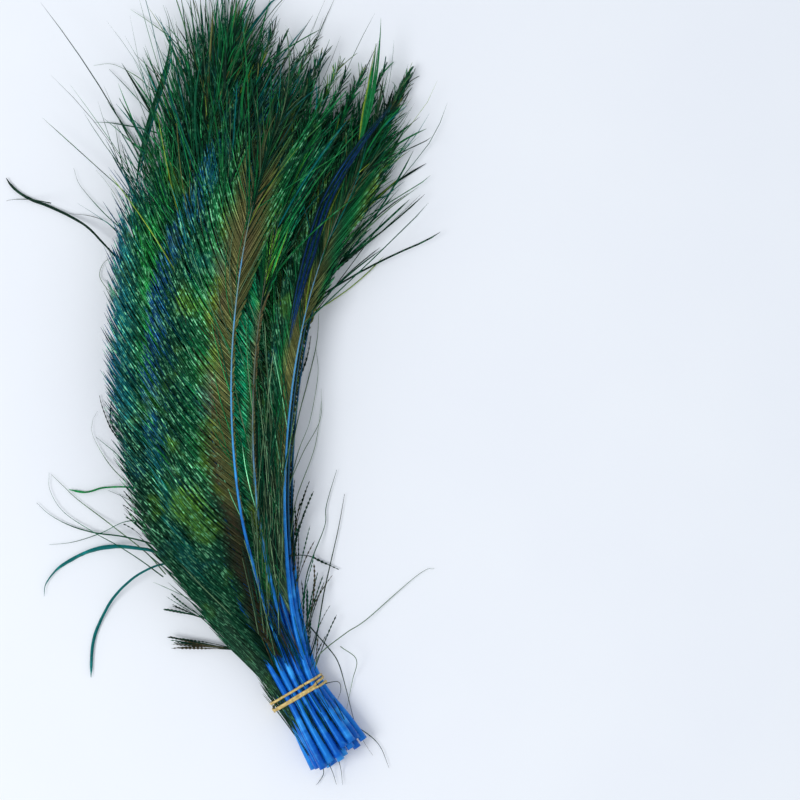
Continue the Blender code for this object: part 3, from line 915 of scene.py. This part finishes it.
RIGHT_STRAYS = (
    (((-3, 146), (4.4, 159.6), (14.8, 170), (28, 181.2)), 0.9, THREAD, BLACK_GREEN, 2.4),
    (((4, 164), (15.4, 178.2), (23.6, 186.4), (30.6, 197.6), (38.2, 202)), 0.5, THREAD, GREY_GREEN, 0),
    (((10, 176), (19.6, 189.2), (27.9, 194.8), (28.4, 203)), 0.5, THREAD, GREY_GREEN, 0),
    (((-4, 92), (-1.2, 108.8), (5.8, 137.6), (7.2, 152)), 0.6, THREAD, GREY_GREEN, 0),
    (((-4, 108), (-2.4, 120.4), (2.4, 134), (4, 143)), 1.1, THREAD, BLACK_GREEN, 2.2),
    (((-5, 80), (-1, 96), (3.6, 108.8), (6.8, 127.2), (6, 137.6)), 0.5, THREAD, GREY_GREEN, 0),
    (((-5, 82), (1, 96), (7.6, 108.8), (8.2, 121.6)), 0.4, THREAD, GREY_GREEN, 0),
    (((-4, 62), (-1.6, 77.6), (5.6, 98.4), (8.2, 116.8)), 0.5, THREAD, GREY_GREEN, 0),
    (((1, 34), (2.2, 45.2), (4.8, 53.8), (9.6, 66.4), (10.2, 74.4), (14.4, 88.8)), 0.6, THREAD, DEEP_GREEN, 0),
    (((4, 14), (6.8, 24), (9.6, 40.5), (14.8, 63.7), (17.6, 79)), 0.7, THREAD, BLACK_GREEN, 0),
    (((-6, 54), (-3.2, 54.4), (2.8, 54.1), (8.2, 51.6), (15.2, 48.4)), 1.2, THREAD, BLACK_GREEN, 1.8),
    (((6, 10), (8.2, 15.3), (18.4, 23.2), (27, 28.8), (48, 46.8), (56, 48.8)), 0.5, THREAD, GREY_GREEN, 0),
    (
        (
            (3, 27), (6.6, 22.6), (10.4, 18.2), (15, 11.4),
            (18.4, -0.4), (21.6, -13.2), (25, -20.6), (29, -26.8),
        ),
        0.6, THREAD, BLACK_GREEN, 0,
    ),
    (((6, 2), (10, 2.8), (15, 3), (16, -0.4), (14.7, -4.3)), 0.6, THREAD, BLACK_GREEN, 0),
    (((16, 18), (22.4, 12.4), (20.8, 3.6), (18.4, -8.2)), 0.4, THREAD, GREY_GREEN, 0),
    (((12, -8), (19.6, -12.8), (30.8, -21.6), (35.6, -31.8)), 0.5, THREAD, BLACK_GREEN, 0),
    (((7, -27), (9.2, -33.6), (6, -39.2)), 0.5, THREAD, BLACK_GREEN, 0),
    (((10, -26), (12.8, -33.6), (14.4, -39)), 0.5, THREAD, BLACK_GREEN, 0),
    (((14, -24), (16, -31.8), (16.8, -39.2)), 0.5, THREAD, BLACK_GREEN, 0),
)

left = Wisps("feather_13", barb_surface)
for points, breadth, shape, tint, beads in LEFT_STRAYS:
    left.add(points, (11.0, 1.2), breadth, shape, tint, beads)
left.spray(((-40, 28.5), (-38, 30)), (3.0, 6.0), 7, (13, 18), (58, 80), 10, (0.4, 0.65), DARKS, 1.5)
left.spray(((-28.5, 16), (-27, 17.2)), (3.0, 6.0), 14, (21, 27), (77, 87), 6, (0.45, 0.75), DARKS, 1.6)
left.spray(((-64, 60), (-58, 76)), (4.0, 12.0), 14, (8, 15), (15, 50), 20, (0.4, 0.7), DARKS, 1.8)
left.make()

right = Wisps("feather_14", barb_surface)
for points, breadth, shape, tint, beads in RIGHT_STRAYS:
    right.add(points, (9.0, 1.2), breadth, shape, tint, beads)
for corners in (((2, 6), (6, 14)), ((-1, 16), (3, 28)), ((-3.5, 30), (-0.5, 44)), ((-4.5, 46), (-2.5, 62))):
    right.spray(corners, (4.0, 11.0), 12, (12, 29), (-20, 12), 14, (0.4, 0.7), DARKS, 1.9)
right.make()

# A dark smooth blade of barbs over the rightmost feather.
navy = Wisps("feather_20", barb_surface)
ribbon = ((-4.4, 138), (-1.6, 154), (3, 172), (10.4, 196), (22, 216), (36.8, 235))
navy.lock(ribbon, (22.6, 17.5), 15, 5.2, 0.58, (NAVY, NAVY, BLUE, BLACK_GREEN, NAVY), 0.05)
bright = ((23, 214), (26, 229.6), (28.2, 240.8), (30, 252.8), (31.4, 264.8), (31.8, 270))
navy.lock(bright, (17.0, 14.0), 5, 2.8, 1.0, (LEAF_GREEN, LEAF_GREEN, YELLOW_GREEN), 0.1)
# Thin lines of barb over the feathers, just above the band, and between the quills below it.
for corners, levels, count, lengths, turns, bend, tints in (
    (((-17, 14), (-7, 60)), (19.0, 21.5), 36, (40, 75), (-2, 12), 5, (GREY_GREEN, BLACK_GREEN, DEEP_GREEN)),
    (((-17, 50), (-7, 110)), (22.0, 23.5), 34, (30, 55), (-10, 5), 5, (GREY_GREEN, BLACK_GREEN, DEEP_GREEN)),
    (((-12, 8), (2, 16)), (12.6, 13.6), 38, (14, 40), (19, 30), 4, (BLACK_GREEN, DEEP_GREEN, BROWN)),
    (((2, -26), (18, -8)), (12.2, 13.5), 30, (9, 20), (25, 32), 3, (BLACK_GREEN, BLACK_GREEN, DEEP_GREEN)),
):
    navy.spray(corners, levels, count, lengths, turns, bend, (0.28, 0.5), tints, sink=1.0)
navy.make()

emerald = Wisps("feather_21", barb_surface)
lime = ((-11.6, 163), (-10.4, 168.4), (-7.8, 176), (-5.2, 183), (-4.4, 186))
emerald.lock(lime, (22.6, 23.0), 3, 0.8, 0.36, (LIME, VIVID_GREEN), 0.2)
emerald.make()

grass = Wisps("feather_22", barb_surface)
teal = ((-66, 196), (-64, 210.8), (-60.8, 226.8), (-56.8, 240.8), (-52.8, 254), (-52, 266), (-55, 276))
grass.lock(teal, (15.0, 9.0), 3, 1.6, 1.2, (TEAL, TEAL, DEEP_GREEN), 0.1)
vivid = ((-60, 146), (-61.6, 158), (-62.8, 168.8), (-64, 182.8), (-65, 194.8), (-64.8, 204))
grass.lock(vivid, (20.5, 19.0), 9, 5.0, 0.9, (VIVID_GREEN, LEAF_GREEN, VIVID_GREEN), 0.9)
grass.make()


# ---------------------------------------------------------------- the rubber band

WINDINGS = 3
# The strand's width, and its thickness as a share of that.
STRAND_WIDTH, STRAND_THICKNESS = 1.05 * MM, 0.72
# How far the windings spread along the quills, and how far one climbs over another.
BAND_SPREAD, BAND_RISE = 2.0 * MM, 0.5 * MM
BAND_PHASE = 0.35
BAND_STEPS, BAND_RINGS, BAND_SIDES = 400, 300, 8
# The barbs held too: how far left of the quills, their thickness, and their heights.
BARBS_HELD, HELD_RADIUS, HELD_HEIGHTS = 2.7 * MM, 1.2 * MM, (-4.0, 0.0, 2.6)


def make_band():
    """One loop wound three times round the quills, its strands pressed side by side on top."""
    centres = np.array([shaft.place(0.0) for shaft in shafts.values()])
    radii = np.array([float(shaft.radius(0.0)) for shaft in shafts.values()])
    turn = np.mean([float(shaft.turn(-10.0)) for shaft in shafts.values()])
    along = np.array([-math.sin(turn), math.cos(turn), 0.0])
    across = np.array([math.cos(turn), math.sin(turn), 0.0])
    middle = centres.mean(axis=0)
    flat = np.stack([(centres - middle) @ across, (centres - middle) @ UP], axis=1)
    # The barbs that the band holds too lie left of the quills.
    leftmost = flat[:, 0].min()
    clump = np.array([[leftmost - BARBS_HELD, height * MM] for height in HELD_HEIGHTS])
    flat = np.vstack([flat, clump])
    radii = np.r_[radii, np.full(len(clump), HELD_RADIUS)]
    wound = np.linspace(0.0, WINDINGS, BAND_STEPS * WINDINGS)
    ways = np.stack([np.cos(2 * math.pi * wound), np.sin(2 * math.pi * wound)], axis=1)
    reach = flat @ ways.T + radii[:, None]
    touched = reach.argmax(axis=0)
    over = BAND_RISE * rise(wound, 0.0, 2.2) * (1.0 - rise(wound, 2.6, WINDINGS))
    out = radii[touched] + STRAND_WIDTH * STRAND_THICKNESS / 2 + over
    spots = flat[touched] + ways * out[:, None]
    slid = BAND_SPREAD * np.cos(2 * math.pi * (wound - BAND_PHASE) / WINDINGS)
    line = middle + spots[:, :1] * across + spots[:, 1:] * UP + slid[:, None] * along
    line = evenly(line, BAND_RINGS)
    for _ in range(3):
        line[1:-1] = (line[:-2] + 2 * line[1:-1] + line[2:]) / 4
    outward = line - middle
    outward -= np.outer(outward @ along, along)
    forward = unit(np.gradient(line, axis=0))
    level = unit(np.cross(UP, forward))
    over_it = np.cross(forward, level)
    outward = unit(outward)
    rolls = np.arctan2(-(outward * level).sum(axis=1), (outward * over_it).sum(axis=1))
    widths = np.full((1, len(line)), STRAND_WIDTH)
    rubber = rubber_finish()
    band = strands("rubber_loop", line[None], widths, STRAND_THICKNESS, rolls[None], {}, rubber, BAND_SIDES)
    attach(band, BODY)
    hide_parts(BAND)


make_band()


# ---------------------------------------------------------------- the table, the light and the camera


def make_table():
    top = bmesh.new()
    bmesh.ops.create_grid(top, x_segments=8, y_segments=8, size=1.5)
    mesh = bpy.data.meshes.new("table")
    top.to_mesh(mesh)
    top.free()
    mesh.materials.append(table_finish())
    floor = bpy.data.objects.new("table", mesh)
    bpy.context.scene.collection.objects.link(floor)


def soft_light(name, place, towards, size, watts):
    lamp = bpy.data.lights.new(name, "AREA")
    lamp.shape = "DISK"
    lamp.size = size
    lamp.energy = watts
    holder = bpy.data.objects.new(name, lamp)
    holder.location = place
    holder.rotation_euler = (Vector(towards) - Vector(place)).to_track_quat("-Z", "Y").to_euler()
    bpy.context.scene.collection.objects.link(holder)


make_table()
soft_light("key", (-0.9, -0.2, 1.3), (-0.02, 0.11, 0.0), 0.7, 11.0)
world = bpy.data.worlds.new("studio")
world.use_nodes = True
world.node_tree.nodes["Background"].inputs["Color"].default_value = (0.93, 0.96, 1.0, 1.0)
world.node_tree.nodes["Background"].inputs["Strength"].default_value = 0.725
bpy.context.scene.world = world
bpy.context.scene.view_settings.view_transform = "Standard"

lens = bpy.data.cameras.new("camera")
lens.lens = 135.0
lens.sensor_width = 36.0
camera = bpy.data.objects.new("camera", lens)
camera.location = (0.040, 0.117, 1.215)
bpy.context.scene.collection.objects.link(camera)
bpy.context.scene.camera = camera
